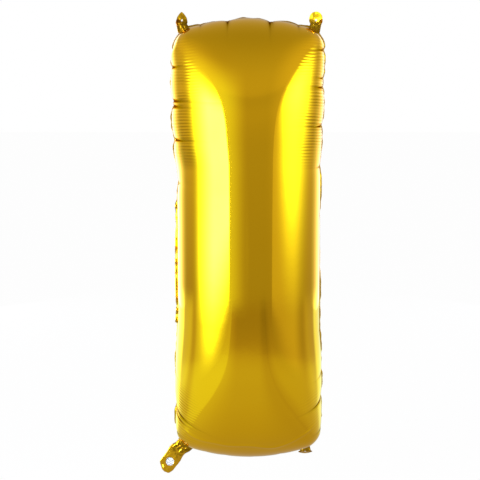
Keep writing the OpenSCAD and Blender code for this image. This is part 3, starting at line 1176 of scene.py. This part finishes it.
class Studio:
    """The pale floor, the soft light and the camera."""

    camera_distance = 2.35
    camera_elevation = 8.0
    camera_aside = -0.0155
    camera_drop = -0.0018
    lens = 98.0
    floor_drop = 0.06
    floor_half = 12.0
    floor_end = (2.0, 2.5)
    floor_white = 0.975
    # Painted glow of the floor by distance from the middle, lower under the balloon as its painted shadow.
    floor_rings = ((0.0, 0.42), (0.3, 0.50), (0.6, 0.53), (1.38, 0.51), (1.66, 0.37), (2.5, 0.36))
    sky_heights = (
        (-1.0, 0.36), (-0.22, 0.36), (-0.18, 0.375), (-0.14, 0.385), (-0.10, 0.40), (-0.03, 0.43), (0.06, 0.455),
        (0.20, 0.44), (0.27, 0.50), (0.42, 0.51), (0.65, 0.47), (0.92, 0.40), (1.0, 0.37),
    )  # fmt: skip

    def __init__(self, low: Vector, middle: float) -> None:
        """Takes the object's lowest corner, for the floor, and the height of the body's middle."""
        self.low, self.middle = low, middle

    def build(self) -> None:
        """Makes the floor, the lights, the surroundings and the camera."""
        self._floor()
        for light in self.softboxes():
            light.build()
        self._surroundings()
        self._camera()

    def softboxes(self) -> tuple[Softbox, ...]:
        """A tall soft light on each side, a faint rim light and two weaker lights behind."""
        left = Vector((-1.05, -0.725, self.middle + 0.14))
        right = Vector((1.05, -0.45, self.middle + 0.18))
        right_rim = Vector((1.06, -0.62, self.middle + 0.18))
        inward = Vector((1, 0, 0))
        behind = Vector((1.3, 1.5, self.middle))
        behind_left = behind * Vector((-1, 1, 1))
        heart = Vector((0, 0, self.middle))
        return (
            Softbox(
                "side_light_left", left, left + inward, 2.25, 1.50, 19.0, (0.53, 0.01), (0.30, 0.42),
                tail=3.5, front=1, corner=(0.80, 0.77), edge=0.055,
            ),
            Softbox(
                "side_light_right", right, right - inward, 2.08, 1.42, 13.0, (0.66, 0.62), (0.86, 0.42),
                corner=(0.97, 0.81), edge=0.10,
            ),
            Softbox(
                "side_rim_right", right_rim, right_rim - inward, 1.74, 1.42, 0.20, (0.01, 0.35), (0.12, 0.35),
                corner=(0.97, 0.81), edge=0.03,
            ),
            Softbox("back_light_left", behind_left, heart, 2.2, 2.4, 2.1, (0.2, 0.62), (0.1, 0.2)),
            Softbox("back_light_right", behind, heart, 2.2, 2.4, 1.4, (0.62, 0.2), (0.1, 0.2)),
        )  # fmt: skip

    def _floor(self) -> None:
        """A wide floor a little below the balloon, white to the camera and, seen in the film, a glow of painted
        light and shade.
        """
        half, height = self.floor_half, self.low.z - self.floor_drop
        corners = [(x * half, y * half, height) for x, y in ((-1, -1), (1, -1), (1, 1), (-1, 1))]
        mesh = bpy.data.meshes.new("floor")
        mesh.from_pydata(corners, [], [(0, 1, 2, 3)])
        floor = add_object("floor", mesh)
        material = bpy.data.materials.new("white_floor")
        material.use_nodes = True
        maker = NodeMaker(material.node_tree)
        maker.nodes.clear()
        spot = maker.add("ShaderNodeTexCoord").outputs["Object"]
        flat = maker.add("ShaderNodeMapping", {"Vector": spot, "Scale": (1, 1, 0)}).outputs[0]
        far = maker.add("ShaderNodeVectorMath", {0: flat}, operation="LENGTH").outputs["Value"]
        split = maker.add("ShaderNodeSeparateXYZ", {0: flat}).outputs
        level = self._floor_level(maker, split["X"], split["Y"], far)
        glow = maker.add("ShaderNodeEmission", {"Strength": level, "Color": maker.glow_colour(level)})
        clear = maker.add("ShaderNodeBsdfTransparent")
        ends = {0: maker.step(far, *self.floor_end), 1: glow.outputs[0], 2: clear.outputs[0]}
        mirrored = maker.add("ShaderNodeMixShader", ends)
        white = maker.add("ShaderNodeEmission", {"Strength": self.floor_white})
        paint = maker.add("ShaderNodeBsdfDiffuse", {"Color": (0.02, 0.02, 0.02, 1)})
        lit = maker.add("ShaderNodeAddShader", {0: white.outputs[0], 1: paint.outputs[0]})
        self._for_camera(maker, "ShaderNodeOutputMaterial", mirrored, lit)
        dress(floor, material)
        floor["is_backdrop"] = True

    def _floor_level(
        self, maker: NodeMaker, x: bpy.types.NodeSocket, y: bpy.types.NodeSocket, far: bpy.types.NodeSocket
    ) -> bpy.types.NodeSocket:
        """How brightly the floor glows in the film: rings that are lower in the middle as a painted shadow of the
        balloon, two painted pools of light, and a painted darker seam in front.
        """
        front = maker.step(y, 0.3, -0.1)
        line = maker.value("SUBTRACT", maker.value("MULTIPLY_ADD", y, 0.28, -0.40), x)
        bright = maker.value("ADD", maker.step(line, -0.02, 0.02, 0.12), maker.step(line, -0.40, 0.10, 0.12))
        total = maker.value("MULTIPLY_ADD", bright, front, maker.curve(far, self.floor_rings))
        aside = maker.value("ABSOLUTE", x)
        wedge = maker.step(maker.past(aside, y, 0.22, 0.14), 0.0, 0.2, 1.2)
        rear = maker.value("MULTIPLY", wedge, maker.step(y, 0.05, 0.45))
        rear = maker.value("MULTIPLY", rear, maker.step(maker.past(y, aside, 0.65, -0.065), 0.0, 0.35))
        rear = maker.value("ADD", rear, maker.step(y, 0.02, 0.50, 0.38))
        share = maker.value("SUBTRACT", 0.85, maker.step(x, -0.1, 0.1, 0.45))
        total = maker.value("MULTIPLY_ADD", rear, share, total)
        line = maker.past(x, y, -0.28, 0.36)
        seam = maker.value("MULTIPLY", maker.step(line, -0.07, -0.01), maker.step(line, 0.03, -0.01))
        dip = maker.value("MULTIPLY", maker.step(line, -0.40, -0.12), maker.step(line, 0.26, -0.04))
        shade = maker.value("MULTIPLY_ADD", seam, 0.02, maker.value("MULTIPLY", dip, 0.06))
        return maker.value("SUBTRACT", total, maker.value("MULTIPLY", shade, front))

    def _for_camera(self, maker: NodeMaker, output: str, others: bpy.types.Node, camera: bpy.types.Node) -> None:
        """Ends a tree with one surface for camera rays and another for all the others."""
        seen = maker.add("ShaderNodeLightPath").outputs["Is Camera Ray"]
        pick = maker.add("ShaderNodeMixShader", {0: seen, 1: others.outputs[0], 2: camera.outputs[0]})
        maker.add(output, {"Surface": pick.outputs[0]})

    def _surroundings(self) -> None:
        """A grey studio round the object, a little lighter to its left, and white for the camera."""
        world = bpy.data.worlds.new("studio")
        bpy.context.scene.world = world
        world.use_nodes = True
        maker = NodeMaker(world.node_tree)
        maker.nodes.clear()
        ray = maker.add("ShaderNodeTexCoord").outputs["Generated"]
        split = maker.add("ShaderNodeSeparateXYZ", {0: ray}).outputs
        x, y, z = (split[axis] for axis in "XYZ")
        spill = maker.value("MULTIPLY", maker.step(x, 0.0, -0.58), maker.step(y, 0.1, -0.5))
        spill = maker.value("MULTIPLY", spill, maker.step(z, 0.75, 0.15))
        sideways = maker.step(maker.value("ABSOLUTE", x), 0.40, 0.90, 0.15)
        beside = maker.value("MULTIPLY", sideways, maker.step(z, -0.22, -0.04))
        level = maker.value("ADD", beside, maker.curve(z, self.sky_heights))
        level = maker.value("MULTIPLY_ADD", spill, 0.36, level)
        tint = maker.greened(maker.value("MULTIPLY_ADD", spill, 0.28, 0.97))
        grey = maker.add("ShaderNodeBackground", {"Strength": level, "Color": tint})
        white = maker.add("ShaderNodeBackground", {"Color": (1, 1, 1, 1)})
        self._for_camera(maker, "ShaderNodeOutputWorld", grey, white)

    def _camera(self) -> None:
        """The camera in front, a little above the middle of the balloon."""
        data = bpy.data.cameras.new("camera")
        data.lens = self.lens
        data.clip_start, data.clip_end = 0.05, 50
        camera = add_object("camera", data)
        lift = math.radians(self.camera_elevation)
        aim = Vector((self.camera_aside, 0, self.middle - self.camera_drop))
        back = Vector((0, -math.cos(lift), math.sin(lift)))
        camera.location = aim + back * self.camera_distance
        camera.rotation_euler = (-back).to_track_quat("-Z", "Y").to_euler()
        bpy.context.scene.camera = camera


def report(pieces: list[bpy.types.Object]) -> None:
    """Logs each piece with its count of faces."""
    for piece in pieces:
        LOG.info("%s: %d faces", piece.name, len(piece.data.polygons))


def main() -> None:
    """Builds the balloon's looks round the frame, then the studio."""
    logging.basicConfig(level=logging.INFO)
    relief = film_relief_group()
    gold = GOLD.build(relief)
    crinkled = GOLD_CRINKLED.build(relief)
    silver = SILVER.build(relief)
    clear = ClearFilm().build(relief)
    form = FilmForm.from_frame()
    report(Envelope(form).build(gold, GOLD_FUSED.build(relief)))
    # The last pair of each tab is the painted shade on its root and on its head.
    for tab in (
        HangingTab("top_left_tab", "top_left_fold", 1, 50, 12, 1, 31, (0.85, 0.5)),
        HangingTab("top_right_tab", "top_right_fold", 1, -31, 2, 0, 35, (0.75, 0.0)),
        HangingTab("bottom_right_tab", "bottom_right_fold", -1, 10, 60, 0.6, 39, (0.6, 0.15)),
    ):
        report([tab.build(crinkled)])
    report(FillingNeck().build(crinkled, silver, clear))
    low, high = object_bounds()
    Studio(low, form.middle).build()
    bpy.context.scene.view_settings.view_transform = "Standard"


if __name__ == "__main__":
    main()
